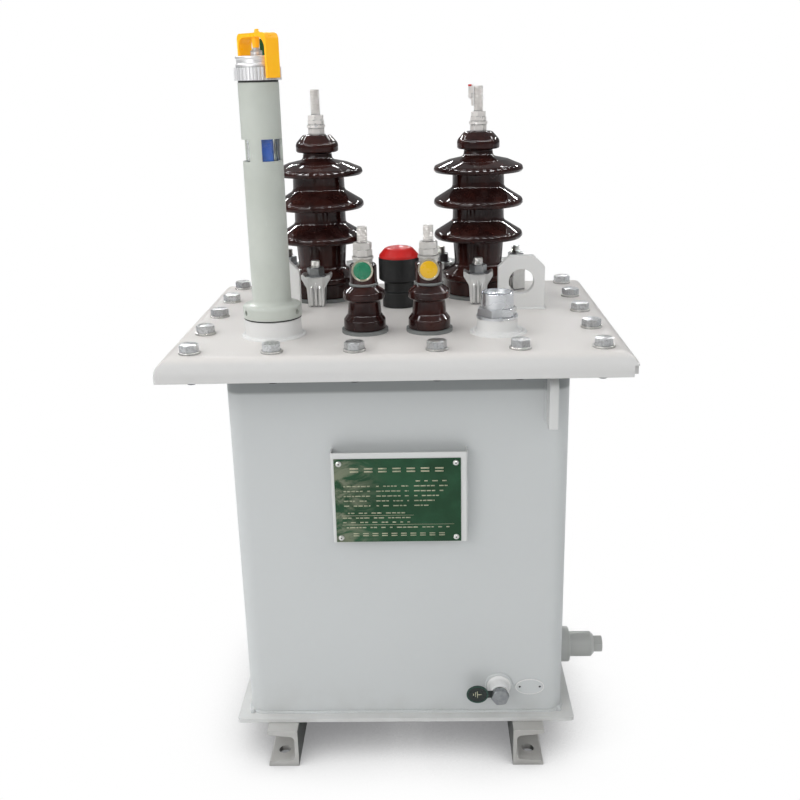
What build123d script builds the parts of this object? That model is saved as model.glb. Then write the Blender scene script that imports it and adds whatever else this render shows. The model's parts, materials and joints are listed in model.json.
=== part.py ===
"""Small pole or pad mounted distribution transformer, oil filled, single phase.

A folded steel tank stands on two rolled channels. Its cover carries two tall porcelain
bushings, two low ones, a tap changer, a filler, a tall oil gauge and two lifting plates.
Sizes are in millimetres. X runs to the right, Y to the back and Z up. The origin lies on the
floor, under the middle of the tank.
"""
import os
from math import atan2, cos, hypot, pi, radians, sin, tan

from build123d import *

os.makedirs("parts", exist_ok=True)

# Tank, whose plan drives the base plate, the feet, the flange and the cover
TANK_WIDTH = 387
TANK_DEPTH = 284
TANK_HEIGHT = 463.5
TANK_SHEET = 4
TANK_CORNER = 18

# Base plate
BASE_MARGIN = 13.5
BASE_THICKNESS = 5
BASE_CORNER = 4
BASE_WIDTH = TANK_WIDTH + 2 * BASE_MARGIN
BASE_DEPTH = TANK_DEPTH + 2 * BASE_MARGIN

# Feet, two rolled channels that run from front to back with their open sides outwards
FOOT_OVERRUN = 18
FOOT_HEIGHT = 50
FOOT_WIDTH = 37
FOOT_WEB = 4.5
FOOT_FLANGE = 7
FOOT_FLANGE_SLOPE = 0.1
FOOT_ROOT_RADIUS = 6
FOOT_TOE_RADIUS = 3
FOOT_INSET = 75.5
FOOT_HOLE = 15
FOOT_HOLE_INSET = 20
FOOT_HOLE_END = 23.5
FOOT_LENGTH = BASE_DEPTH + 2 * FOOT_OVERRUN
FOOT_GAP = BASE_WIDTH - 2 * FOOT_INSET
FOOT_HOLE_SPAN_X = FOOT_GAP + 2 * FOOT_HOLE_INSET
FOOT_HOLE_SPAN_Y = FOOT_LENGTH - 2 * FOOT_HOLE_END

# Flange round the top of the tank, the cork seal on it and the pressed cover
FLANGE_THICKNESS = 8
FLANGE_CLEARANCE = 5
SEAL_THICKNESS = 5
SEAL_SETBACK = 9
COVER_OVERHANG_X = 62
COVER_OVERHANG_Y = 62
COVER_SHEET = 5
COVER_DROP = 25
COVER_BEND = 18
COVER_CORNER = 3
COVER_NOTCH_X = 6.5
COVER_NOTCH_Y = 12
COVER_NOTCH_HEIGHT = 12
FLANGE_CORNER = 8
COVER_WIDTH = TANK_WIDTH + 2 * COVER_OVERHANG_X
COVER_DEPTH = TANK_DEPTH + 2 * COVER_OVERHANG_Y
BOLT_EDGE_X = 33.5
BOLT_EDGE_Y = 32.5
BOLT_COUNT_X = 6
BOLT_COUNT_Y = 5
BOLT_HOLE = 14
BOLT_SPAN_X = COVER_WIDTH - 2 * BOLT_EDGE_X
BOLT_SPAN_Y = COVER_DEPTH - 2 * BOLT_EDGE_Y

# Lifting plates on the cover
LUG_X = 151
LUG_Y = 18
LUG_WIDTH = 57
LUG_HEIGHT = 66
LUG_THICKNESS = 12
LUG_CHAMFER = 13.5
LUG_HOLE = 31
LUG_HOLE_HEIGHT = 34.5

# Rope hooks on the tank wall, one at the front right and one at the back left
HOOK_INSET = 22.5
HOOK_X = TANK_WIDTH / 2 - HOOK_INSET
HOOK_THICKNESS = 10
HOOK_REACH = 28
HOOK_TOP = 495
HOOK_BOTTOM = 434
HOOK_NOSE = 14

# Rating plate and its bent bracket
BRACKET_WIDTH = 154
BRACKET_HEIGHT = 110
BRACKET_STANDOFF = 18
BRACKET_SHEET = 1.5
BRACKET_MIDDLE = 351.5
PLATE_WIDTH = 143
PLATE_HEIGHT = 102
PLATE_THICKNESS = 1
PLATE_SHIFT_X = -1.8
PLATE_MIDDLE = 348.5

# Earth terminal at the front, low on the right
EARTH_INSET = 78
EARTH_X = TANK_WIDTH / 2 - EARTH_INSET
EARTH_HEIGHT = 92
EARTH_BOSS_RADIUS = 11.8
EARTH_BOSS_LENGTH = 18
EARTH_WELD = 4.5
EARTH_TAG_THICKNESS = 1.5
EARTH_HEAD_FLATS = 19
EARTH_HEAD_HEIGHT = 7.5
EARTH_TAG_REACH = 27
EARTH_TAG_WIDTH = 26.5
EARTH_TAG_HEIGHT = 23.5
OVAL_INSET = 40
OVAL_X = TANK_WIDTH / 2 - OVAL_INSET
OVAL_HEIGHT = 90.3
OVAL_LENGTH = 35.5
OVAL_BREADTH = 21.5
OVAL_HOLE_SPAN = 24.5

# Drain valve on the right-hand wall
DRAIN_Y = -54
DRAIN_HEIGHT = 95
DRAIN_COLLAR_RADIUS = 22.5
DRAIN_COLLAR_LENGTH = 19
DRAIN_BODY_RADIUS = 16
DRAIN_BODY_LENGTH = 32
DRAIN_PLUG_FLATS = 20
DRAIN_PLUG_LENGTH = 11

# Filler on the cover
FILLER_X = 113.6
FILLER_Y = -98
FILLER_BOSS_RADIUS = 23
FILLER_BOSS_HEIGHT = 17
FILLER_HEX_FLATS = 39
FILLER_HEX_HEIGHT = 12
FILLER_CAP_RADIUS = 18.5
FILLER_CAP_HEIGHT = 17

# Oil gauge on the cover
GAUGE_X = -141
GAUGE_Y = -95
GAUGE_BOSS_RADIUS = 32
GAUGE_BOSS_HEIGHT = 21
GAUGE_SEAL = 1.5
GAUGE_FLANGE_RADIUS = 33
GAUGE_FLANGE_HEIGHT = 14
GAUGE_TUBE_RADIUS = 21.8
GAUGE_TUBE_TOP = 804
GAUGE_WALL = 3
GAUGE_SLOT_BOTTOM = 723
GAUGE_SLOT_TOP = 746
GAUGE_POSTS = 3
GAUGE_POST_ANGLE = 37
GAUGE_GLASS_RADIUS = 16.6
GAUGE_FLOAT_RADIUS = 12
GAUGE_RING_HEIGHT = 2
COLLAR_RADIUS = 25
COLLAR_HEIGHT = 13
COLLAR_FLUTES = 40
CAP_RING_RADIUS = 22.5
CAP_RING_HEIGHT = 11.5
STEM_HEIGHT = 8
GUARD_WIDTH = 16.6
GUARD_REACH = 28.5
GUARD_SHEET = 3
GUARD_TOP = 853
GUARD_TURN = -45

# Tall bushings
HV_X = 103
HV_Y = 110
HV_SEAL_RADIUS = 48.5
HV_SEAL = 4
HV_HEIGHT = 205.5
HV_FOOT_RADIUS = 47
HV_TRUNK_RADIUS = 33
HV_SHED_RADIUS = 57.5
HV_SHED_COUNT = 3
HV_SHED_FIRST = 71
HV_SHED_PITCH = 42.2
HV_CAP_RADIUS = 27
CLAW_RADIUS = 58
CLAW_HEIGHT = 38.5
CLAW_CLEARANCE = 0.3
CLAW_WING = 18.5
CLAW_DEPTH = 16
CLAW_TURN = -93
HV_STACK = 24
HV_STUD_LENGTH = 55

# Terminal studs
STUD_RADIUS = 6
STUD_RELIEF = 0.3

# Low bushings
LV_X = 37
LV_Y = -86.5
LV_SEAL_RADIUS = 26.5
LV_SEAL = 4
LV_HEIGHT = 50
LV_RING = 3
LV_UPPER_HEIGHT = 22
LV_NECK_RADIUS = 15.3
LV_TAG_RADIUS = 12.2
LV_TAG_SHEET = 1.2
LV_STACK = 22
LV_STUD_LENGTH = 41

# Tap changer
TAP_Y = 47

# Heights that follow from the sizes above
BASE_TOP = FOOT_HEIGHT + BASE_THICKNESS
TANK_TOP = BASE_TOP + TANK_HEIGHT
COVER_UNDER = TANK_TOP + SEAL_THICKNESS
COVER_TOP = COVER_UNDER + COVER_SHEET
TANK_FRONT = -TANK_DEPTH / 2
TANK_RIGHT = TANK_WIDTH / 2


# Outlines


def outline(corners):
    """A closed face from (x, y, radius) corners; a radius above 0 rounds that corner."""
    count = len(corners)
    starts, ends, middles = [], [], []
    for i in range(count):
        x, y, radius = corners[i]
        ax, ay = corners[i - 1][0] - x, corners[i - 1][1] - y
        bx, by = corners[(i + 1) % count][0] - x, corners[(i + 1) % count][1] - y
        la, lb = hypot(ax, ay), hypot(bx, by)
        ax, ay, bx, by = ax / la, ay / la, bx / lb, by / lb
        if radius <= 0:
            starts.append((x, y))
            ends.append((x, y))
            middles.append(None)
            continue
        half = atan2(abs(ax * by - ay * bx), ax * bx + ay * by) / 2
        cut = radius / tan(half)
        starts.append((x + ax * cut, y + ay * cut))
        ends.append((x + bx * cut, y + by * cut))
        mx, my = ax + bx, ay + by
        lm = hypot(mx, my)
        gap = radius / sin(half) - radius
        middles.append((x + mx / lm * gap, y + my / lm * gap))
    edges = []
    for i in range(count):
        if middles[i]:
            edges.append(ThreePointArc(starts[i], middles[i], ends[i]))
        nxt = starts[(i + 1) % count]
        if hypot(nxt[0] - ends[i][0], nxt[1] - ends[i][1]) > 1e-6:
            edges.append(Line(ends[i], nxt))
    return make_face(Curve() + edges)


def turned(corners):
    """A solid of revolution about Z from (radius, height, rounding) corners."""
    face = Plane.XZ * outline(corners)
    return revolve(face, axis=Axis.Z)


def round_bar(radius, height):
    return Cylinder(radius, height, align=(Align.CENTER, Align.CENTER, Align.MIN))


def hexagon(flats, height):
    """A hexagonal prism with its corners turned off at both ends, like a nut."""
    body = extrude(RegularPolygon(flats / 2, 6, major_radius=False), height)
    reach = flats / 2 / cos(pi / 6)
    bevel = (reach - flats / 2) * 0.6
    return body & turned([(0, 0, 0), (flats / 2, 0, 0), (reach + 0.1, bevel, 0),
                          (reach + 0.1, height - bevel, 0), (flats / 2, height, 0), (0, height, 0)])


def stud(length, covered):
    """A terminal stud, a little slimmer where its nuts cover it."""
    slim = STUD_RADIUS - STUD_RELIEF
    return turned([(0, 0, 0), (slim, 0, 0), (slim, covered, 0), (STUD_RADIUS, covered, 0),
                   (STUD_RADIUS, length, 1.2), (0, length, 0)])


def frame_plate(width, depth, height, radius):
    return extrude(RectangleRounded(width, depth, radius), height)


def cover_bolt_places():
    """Centres of the bolts round the edge of the cover."""
    places = []
    for i in range(BOLT_COUNT_X):
        x = -BOLT_SPAN_X / 2 + BOLT_SPAN_X * i / (BOLT_COUNT_X - 1)
        places += [(x, -BOLT_SPAN_Y / 2), (x, BOLT_SPAN_Y / 2)]
    for j in range(1, BOLT_COUNT_Y - 1):
        y = -BOLT_SPAN_Y / 2 + BOLT_SPAN_Y * j / (BOLT_COUNT_Y - 1)
        places += [(-BOLT_SPAN_X / 2, y), (BOLT_SPAN_X / 2, y)]
    return places


def drilled(body, places, diameter, bottom, height):
    for x, y in places:
        body -= Pos(x, y, bottom - 1) * round_bar(diameter / 2, height + 2)
    return body


# Feet, base plate and tank


def foot():
    """A rolled channel with tapered flanges, its web on the left and its mouth to the right."""
    tip = FOOT_FLANGE - FOOT_FLANGE_SLOPE * (FOOT_WIDTH - FOOT_WEB) / 2
    root = FOOT_FLANGE + FOOT_FLANGE_SLOPE * (FOOT_WIDTH - FOOT_WEB) / 2
    section = outline([
        (0, 0, 0), (FOOT_WIDTH, 0, 0), (FOOT_WIDTH, tip, FOOT_TOE_RADIUS),
        (FOOT_WEB, root, FOOT_ROOT_RADIUS), (FOOT_WEB, FOOT_HEIGHT - root, FOOT_ROOT_RADIUS),
        (FOOT_WIDTH, FOOT_HEIGHT - tip, FOOT_TOE_RADIUS), (FOOT_WIDTH, FOOT_HEIGHT, 0),
        (0, FOOT_HEIGHT, 0)])
    bar = extrude(Plane.XZ * section, FOOT_LENGTH)
    bar = Pos(FOOT_GAP / 2, FOOT_LENGTH / 2, 0) * bar
    for y in (-FOOT_HOLE_SPAN_Y / 2, FOOT_HOLE_SPAN_Y / 2):
        bar -= Pos(FOOT_HOLE_SPAN_X / 2, y, -1) * round_bar(FOOT_HOLE / 2, root + 3)
    return bar


def base_plate():
    return Pos(0, 0, FOOT_HEIGHT) * frame_plate(BASE_WIDTH, BASE_DEPTH, BASE_THICKNESS, BASE_CORNER)


def tank_shell():
    """The four folded walls, open at both ends."""
    outer = frame_plate(TANK_WIDTH, TANK_DEPTH, TANK_HEIGHT, TANK_CORNER)
    inner = frame_plate(TANK_WIDTH - 2 * TANK_SHEET, TANK_DEPTH - 2 * TANK_SHEET,
                        TANK_HEIGHT, TANK_CORNER - TANK_SHEET)
    return Pos(0, 0, BASE_TOP) * (outer - inner)


def flange_size():
    inside = 2 * (COVER_SHEET + FLANGE_CLEARANCE)
    return COVER_WIDTH - inside, COVER_DEPTH - inside


def tank_flange():
    """A flat frame welded round the outside of the walls, flush with their top."""
    width, depth = flange_size()
    frame = frame_plate(width, depth, FLANGE_THICKNESS, FLANGE_CORNER)
    frame -= frame_plate(TANK_WIDTH, TANK_DEPTH, FLANGE_THICKNESS, TANK_CORNER)
    bottom = TANK_TOP - FLANGE_THICKNESS
    return drilled(Pos(0, 0, bottom) * frame, cover_bolt_places(), BOLT_HOLE, bottom, FLANGE_THICKNESS)


def cover_seal():
    width, depth = flange_size()
    frame = frame_plate(width - 2 * SEAL_SETBACK, depth - 2 * SEAL_SETBACK,
                        SEAL_THICKNESS, FLANGE_CORNER)
    frame -= frame_plate(TANK_WIDTH - 2 * TANK_SHEET, TANK_DEPTH - 2 * TANK_SHEET,
                         SEAL_THICKNESS, TANK_CORNER - TANK_SHEET)
    return drilled(Pos(0, 0, TANK_TOP) * frame, cover_bolt_places(), BOLT_HOLE, TANK_TOP, SEAL_THICKNESS)


def folded(width, depth, height, bend):
    """A block whose top is bent over on all four sides, the bends meeting on a mitre."""
    across = outline([
        (-width / 2, 0, 0), (width / 2, 0, 0), (width / 2, height, bend), (-width / 2, height, bend)])
    along = outline([
        (-depth / 2, 0, 0), (depth / 2, 0, 0), (depth / 2, height, bend), (-depth / 2, height, bend)])
    return extrude(Plane.XZ * across, depth, both=True) & extrude(Plane.YZ * along, width, both=True)


def cover():
    """A folded lid: its edges are bent down and the corners notched at the bottom."""
    block = folded(COVER_WIDTH, COVER_DEPTH, COVER_DROP, COVER_BEND)
    block = fillet(block.edges().filter_by(Axis.Z), COVER_CORNER)
    inside = 2 * COVER_SHEET
    block -= folded(COVER_WIDTH - inside, COVER_DEPTH - inside, COVER_DROP - COVER_SHEET,
                    COVER_BEND - COVER_SHEET)
    for sx in (-1, 1):
        for sy in (-1, 1):
            notch = Box(2 * COVER_NOTCH_X, 2 * COVER_NOTCH_Y, 2 * COVER_NOTCH_HEIGHT)
            block -= Pos(sx * COVER_WIDTH / 2, sy * COVER_DEPTH / 2, 0) * notch
    lid = Pos(0, 0, COVER_TOP - COVER_DROP) * block
    return drilled(lid, cover_bolt_places(), BOLT_HOLE, COVER_UNDER, COVER_SHEET)


# Plates welded to the tank and cover


def lifting_lug():
    half = LUG_WIDTH / 2
    plate = outline([
        (-half, 0, 0), (half, 0, 0), (half, LUG_HEIGHT - LUG_CHAMFER, 1.5),
        (half - LUG_CHAMFER, LUG_HEIGHT, 1.5), (-half + LUG_CHAMFER, LUG_HEIGHT, 1.5),
        (-half, LUG_HEIGHT - LUG_CHAMFER, 1.5)])
    plate -= Pos(0, LUG_HOLE_HEIGHT) * Circle(LUG_HOLE / 2)
    solid = extrude(Plane.XZ * plate, LUG_THICKNESS / 2, both=True)
    return Pos(LUG_X, LUG_Y, COVER_TOP) * solid


def rope_hook():
    """A plate on edge whose front corner is rounded over at the top."""
    top = HOOK_TOP - HOOK_BOTTOM
    side = outline([
        (0, 0, 0), (HOOK_REACH, 0, 2), (HOOK_REACH, top - 4, HOOK_NOSE), (6, top, 4), (0, top, 0)])
    solid = extrude(side, HOOK_THICKNESS / 2, both=True)
    stand = Plane(origin=(0, 0, 0), x_dir=(0, -1, 0), z_dir=(-1, 0, 0))
    return Pos(HOOK_X, TANK_FRONT, HOOK_BOTTOM) * (stand * solid)


def plate_bracket():
    """Sheet bent back at both sides so that the rating plate stands off the wall."""
    depth = BRACKET_STANDOFF
    sheet = BRACKET_SHEET
    half = BRACKET_WIDTH / 2
    bend = 2.5
    section = outline([
        (-half, 0, 0), (-half, depth, bend), (half, depth, bend), (half, 0, 0),
        (half - sheet, 0, 0), (half - sheet, depth - sheet, bend - sheet),
        (-half + sheet, depth - sheet, bend - sheet), (-half + sheet, 0, 0)])
    channel = extrude(section, BRACKET_HEIGHT)
    return Pos(0, TANK_FRONT, BRACKET_MIDDLE - BRACKET_HEIGHT / 2) * (mirror(channel, Plane.XZ))


def rating_plate():
    plate = Box(PLATE_WIDTH, PLATE_THICKNESS, PLATE_HEIGHT)
    y = TANK_FRONT - BRACKET_STANDOFF - PLATE_THICKNESS / 2
    return Pos(PLATE_SHIFT_X, y, PLATE_MIDDLE) * plate


# Things on the tank walls


def facing_front(solid, x, height, y):
    """Turn a part built along +Z so that it points out of the front wall."""
    return Pos(x, y, height) * (Rot(90, 0, 0) * solid)


def facing_right(solid, x, y, height):
    return Pos(x, y, height) * (Rot(0, 90, 0) * solid)


def earth_boss():
    boss = turned([
        (0, 0, 0), (EARTH_BOSS_RADIUS + EARTH_WELD, 0, 0), (EARTH_BOSS_RADIUS, EARTH_WELD, 3),
        (EARTH_BOSS_RADIUS, EARTH_BOSS_LENGTH, 1), (0, EARTH_BOSS_LENGTH, 0)])
    return facing_front(boss, EARTH_X, EARTH_HEIGHT, TANK_FRONT)


def earth_tag():
    """An oval disc whose short tongue is clamped under the bolt head."""
    reach = EARTH_TAG_REACH
    disc = Pos(-reach, 0) * Ellipse(EARTH_TAG_WIDTH / 2, EARTH_TAG_HEIGHT / 2)
    tongue = Pos(-reach / 2, 0) * Rectangle(reach, 9)
    washer = Circle(EARTH_HEAD_FLATS / 2)
    tag = extrude(disc + tongue + washer, EARTH_TAG_THICKNESS)
    return facing_front(tag, EARTH_X, EARTH_HEIGHT, TANK_FRONT - EARTH_BOSS_LENGTH)


def earth_bolt():
    head = hexagon(EARTH_HEAD_FLATS, EARTH_HEAD_HEIGHT)
    y = TANK_FRONT - EARTH_BOSS_LENGTH - EARTH_TAG_THICKNESS
    return facing_front(Rot(0, 0, 8) * head, EARTH_X, EARTH_HEIGHT, y)


def oval_plate():
    plate = Ellipse(OVAL_LENGTH / 2, OVAL_BREADTH / 2)
    for side in (-1, 1):
        plate -= Pos(side * OVAL_HOLE_SPAN / 2, 0) * Circle(1.4)
    return facing_front(extrude(plate, 1.2), OVAL_X, OVAL_HEIGHT, TANK_FRONT)


def drain_valve():
    body = turned([
        (0, 0, 0), (DRAIN_COLLAR_RADIUS, 0, 0), (DRAIN_COLLAR_RADIUS, DRAIN_COLLAR_LENGTH, 2),
        (DRAIN_BODY_RADIUS, DRAIN_COLLAR_LENGTH, 1),
        (DRAIN_BODY_RADIUS, DRAIN_COLLAR_LENGTH + DRAIN_BODY_LENGTH - 4, 1),
        (DRAIN_BODY_RADIUS - 4, DRAIN_COLLAR_LENGTH + DRAIN_BODY_LENGTH, 0),
        (0, DRAIN_COLLAR_LENGTH + DRAIN_BODY_LENGTH, 0)])
    return facing_right(body, TANK_RIGHT, DRAIN_Y, DRAIN_HEIGHT)


def drain_plug():
    plug = hexagon(DRAIN_PLUG_FLATS, DRAIN_PLUG_LENGTH)
    x = TANK_RIGHT + DRAIN_COLLAR_LENGTH + DRAIN_BODY_LENGTH
    return facing_right(plug, x, DRAIN_Y, DRAIN_HEIGHT)


# Filler and oil gauge


def filler_boss():
    boss = turned([
        (0, 0, 0), (FILLER_BOSS_RADIUS + 4, 0, 0), (FILLER_BOSS_RADIUS, 4, 2),
        (FILLER_BOSS_RADIUS, FILLER_BOSS_HEIGHT, 0.5), (0, FILLER_BOSS_HEIGHT, 0)])
    return Pos(FILLER_X, FILLER_Y, COVER_TOP) * boss


def filler_cap():
    hexed = hexagon(FILLER_HEX_FLATS, FILLER_HEX_HEIGHT)
    rim = round_bar(FILLER_BOSS_RADIUS + 0.5, 2.5)
    top = FILLER_HEX_HEIGHT + FILLER_CAP_HEIGHT
    dome = turned([
        (0, FILLER_HEX_HEIGHT / 2, 0), (FILLER_CAP_RADIUS, FILLER_HEX_HEIGHT / 2, 0),
        (FILLER_CAP_RADIUS, top, 1.2), (FILLER_CAP_RADIUS - 3, top, 0.8),
        (FILLER_CAP_RADIUS - 4, top - 6, 2), (0, top - 6, 0)])
    return Pos(FILLER_X, FILLER_Y, COVER_TOP + FILLER_BOSS_HEIGHT) * (Rot(0, 0, 10) * (hexed + rim + dome))


def on_gauge(solid, height):
    return Pos(GAUGE_X, GAUGE_Y, height) * solid


def gauge_boss():
    boss = turned([
        (0, 0, 0), (GAUGE_BOSS_RADIUS + 3, 0, 0), (GAUGE_BOSS_RADIUS, 3, 2),
        (GAUGE_BOSS_RADIUS, GAUGE_BOSS_HEIGHT, 0.5), (0, GAUGE_BOSS_HEIGHT, 0)])
    return on_gauge(boss, COVER_TOP)


def gauge_seal():
    return on_gauge(round_bar(GAUGE_FLANGE_RADIUS - 0.5, GAUGE_SEAL), COVER_TOP + GAUGE_BOSS_HEIGHT)


GAUGE_FOOT = COVER_TOP + GAUGE_BOSS_HEIGHT + GAUGE_SEAL


def gauge_tube():
    """Moulded tube with a round foot, pierced near the top so that the glass shows."""
    top = GAUGE_TUBE_TOP - GAUGE_FOOT
    bore = GAUGE_TUBE_RADIUS - GAUGE_WALL
    body = turned([
        (0, 0, 0), (GAUGE_FLANGE_RADIUS, 0, 0.5), (GAUGE_FLANGE_RADIUS, GAUGE_FLANGE_HEIGHT, 3.5),
        (GAUGE_TUBE_RADIUS, GAUGE_FLANGE_HEIGHT + 2, 4), (GAUGE_TUBE_RADIUS, top, 0.5),
        (bore, top, 0), (bore, 12, 0), (0, 12, 0)])
    low, high = GAUGE_SLOT_BOTTOM - GAUGE_FOOT, GAUGE_SLOT_TOP - GAUGE_FOOT
    ring = Pos(0, 0, low) * round_bar(GAUGE_TUBE_RADIUS + 1, high - low)
    ring -= Pos(0, 0, low) * round_bar(bore, high - low)
    reach = GAUGE_TUBE_RADIUS + 10
    half = GAUGE_POST_ANGLE / 2
    for i in range(GAUGE_POSTS):
        wedge = make_face(Polyline((0, 0), (reach, -reach * tan(radians(half))),
                                   (reach, reach * tan(radians(half))), (0, 0)))
        turn = 258.5 + 360 / GAUGE_POSTS * i
        ring -= Rot(0, 0, turn) * (Pos(0, 0, low - 1) * extrude(wedge, high - low + 2))
    body -= ring
    for angle in (-25, -145, 95):
        hole = Rot(0, 90, 0) * round_bar(3, 12)
        body -= Rot(0, 0, angle) * (Pos(GAUGE_FLANGE_RADIUS - 8, 0, GAUGE_FLANGE_HEIGHT / 2) * hole)
    return on_gauge(body, GAUGE_FOOT)


def gauge_glass():
    low = GAUGE_SLOT_BOTTOM - 20
    tube = round_bar(GAUGE_TUBE_RADIUS - GAUGE_WALL, 14)
    tube += round_bar(GAUGE_GLASS_RADIUS, GAUGE_TUBE_TOP - low)
    tube += Pos(0, 0, GAUGE_TUBE_TOP - low - 14) * round_bar(GAUGE_TUBE_RADIUS - GAUGE_WALL, 14)
    tube -= round_bar(GAUGE_GLASS_RADIUS - 2, GAUGE_TUBE_TOP - low)
    return on_gauge(tube, low)


def gauge_float():
    low = 12 + GAUGE_FOOT
    high = GAUGE_SLOT_TOP + 4
    return on_gauge(round_bar(GAUGE_FLOAT_RADIUS, high - low), low)


def gauge_ring():
    return on_gauge(round_bar(GAUGE_TUBE_RADIUS - 0.5, GAUGE_RING_HEIGHT), GAUGE_TUBE_TOP)


def gauge_collar():
    """Fluted ring that clamps the head to the tube."""
    circle = Circle(COLLAR_RADIUS)
    for i in range(COLLAR_FLUTES):
        circle -= Rot(0, 0, 360 / COLLAR_FLUTES * i) * (Pos(COLLAR_RADIUS + 0.6, 0) * Circle(1.4))
    return on_gauge(extrude(circle, COLLAR_HEIGHT), GAUGE_TUBE_TOP + GAUGE_RING_HEIGHT)


COLLAR_TOP = GAUGE_TUBE_TOP + GAUGE_RING_HEIGHT + COLLAR_HEIGHT


def gauge_head():
    """Turned cap with the short stem of the relief valve on it."""
    r = CAP_RING_RADIUS
    h = CAP_RING_HEIGHT
    body = turned([(0, 0, 0), (r, 0, 0.5), (r, 3, 0.8), (r - 1, 4.5, 0.5), (r - 1, 8, 0.5),
                   (r, 9, 0.5), (r, h, 1.0), (6, h, 0), (6, h + 4, 0.8), (3, h + 4, 0),
                   (3, h + STEM_HEIGHT, 0), (0, h + STEM_HEIGHT, 0)])
    return on_gauge(body, COLLAR_TOP)


def gauge_guard():
    """Yellow bow over the relief valve: one leg passes the fluted ring, one stands on the cap."""
    low = GAUGE_TUBE_TOP + 4
    height = GUARD_TOP - low
    outer = GUARD_REACH
    inner = GUARD_REACH - GUARD_SHEET
    seat = COLLAR_TOP + CAP_RING_HEIGHT - low
    back = CAP_RING_RADIUS - 0.5
    face = outline([
        (-back, seat, 1), (-back, height, 5), (outer, height, 7), (outer, 0, 1), (inner, 0, 1),
        (inner, height - 4, 12), (GUARD_SHEET - back, height - 4, 8), (GUARD_SHEET - back, seat, 1)])
    bow = extrude(Plane.XZ * face, GUARD_WIDTH / 2, both=True)
    bow += Pos(3, 0, height - 2) * turned([(0, 0, 0), (4, 0, 0), (2, 6, 0.8), (0, 6, 0)])
    socket = seat + STEM_HEIGHT
    depth = height - 2 - socket
    bow += Pos(0, 0, socket) * turned([(0, 0, 0), (3.6, 0, 0.8), (4.4, depth, 0), (0, depth, 0)])
    return on_gauge(Rot(0, 0, GUARD_TURN) * bow, low)


def valve_flag():
    low = COLLAR_TOP + CAP_RING_HEIGHT
    side = outline([(0, 0, 1), (10, 0, 1), (10, 12, 2), (6, 17, 1), (0, 17, 0)])
    flag = extrude(Plane.XZ * side, 1.5, both=True)
    return on_gauge(Rot(0, 0, 9.4) * (Pos(4, 7, 0) * flag), low)


# Tall bushings


def hv_bushing():
    """Glazed porcelain with a clamped foot, a row of sheds and a domed cap on a neck."""
    foot_edge, trunk, shed, cap = HV_FOOT_RADIUS, HV_TRUNK_RADIUS, HV_SHED_RADIUS, HV_CAP_RADIUS
    top = HV_HEIGHT
    profile = [
        (0, 0, 0), (foot_edge - 3, 0, 1.5), (foot_edge - 3, 18, 2), (foot_edge, 20, 2),
        (foot_edge, 26, 3), (trunk - 2, 37, 5), (trunk - 2.2, 42, 6)]
    for i in range(HV_SHED_COUNT):
        low = HV_SHED_FIRST + HV_SHED_PITCH * i
        profile += [(trunk, low - 1, 2), (shed - 2.5, low, 1.5), (shed, low + 3, 2.5)]
        if i < HV_SHED_COUNT - 1:
            profile += [(shed - 0.5, low + 8.5, 6), (trunk + 0.4, low + 23, 6)]
        else:
            profile += [(shed - 1.5, low + 8, 4), (trunk + 5, low + 15.5, 8)]
    profile += [
        (19, top - 30.5, 5), (18.2, top - 22.5, 1.5), (cap, top - 21, 2.5), (cap, top - 10.5, 8),
        (cap - 9.5, top, 5), (0, top, 0)]
    return turned(profile)


def hv_pair(make, rise=0):
    body = make()
    return [Pos(side * HV_X, HV_Y, COVER_TOP + rise) * body for side in (-1, 1)]


def hv_seal():
    return round_bar(HV_SEAL_RADIUS, HV_SEAL)


HV_SEAT = HV_SEAL + HV_HEIGHT


def hv_nuts():
    """Stack on the stud: a six-sided base, a washer and two thin nuts."""
    base = hexagon(18, 8.5)
    washer = Pos(0, 0, 8.5) * round_bar(11.5, 3.5)
    lower = Pos(0, 0, 12) * (Rot(0, 0, 12) * hexagon(18, 6))
    upper = Pos(0, 0, 18) * (Rot(0, 0, 25) * hexagon(18, 6))
    return base + washer + lower + upper - round_bar(STUD_RADIUS, HV_STACK)


def hv_stud():
    return stud(HV_STUD_LENGTH, HV_STACK)


def claw():
    """Cast claw: an upright post flaring into two wings that hook over the foot of the bushing."""
    top = CLAW_HEIGHT
    front = outline([
        (-10, 0, 2), (10, 0, 2), (11.5, top - 14, 8), (CLAW_WING, top - 3, 2), (CLAW_WING, top + 4, 1.5),
        (12.5, top, 1.5), (-12.5, top, 1.5), (-CLAW_WING, top + 4, 1.5), (-CLAW_WING, top - 3, 2),
        (-11.5, top - 14, 8)])
    body = Pos(0, CLAW_DEPTH, 0) * extrude(Plane.XZ * front, CLAW_DEPTH + 9)
    plan = outline([
        (-CLAW_WING - 1, -4, 2), (-8, -9.5, 4), (8, -9.5, 4), (CLAW_WING + 1, -4, 2),
        (CLAW_WING + 1, CLAW_DEPTH + 1, 0), (-CLAW_WING - 1, CLAW_DEPTH + 1, 0)])
    body &= extrude(plan, top + 5)
    for x in (-6, -2, 2, 6):
        body -= Pos(x, -10, 0) * round_bar(1.3, top - 15)
    gap = CLAW_CLEARANCE
    foot_space = turned([
        (0, -1, 0), (HV_SEAL_RADIUS + gap, -1, 0), (HV_SEAL_RADIUS + gap, 30 + gap, 0),
        (31, 41 + gap, 0), (0, 41 + gap, 0)])
    return body - Pos(0, CLAW_RADIUS, 0) * foot_space


def claw_places():
    return [(side, CLAW_TURN + 120 * i) for side in (-1, 1) for i in range(3)]


def hv_claws():
    solids = []
    body = claw()
    for side, angle in claw_places():
        turn = Rot(0, 0, angle + 90)
        solids.append(Pos(side * HV_X, HV_Y, COVER_TOP) * (turn * (Pos(0, -CLAW_RADIUS, 0) * body)))
    return solids


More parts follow.
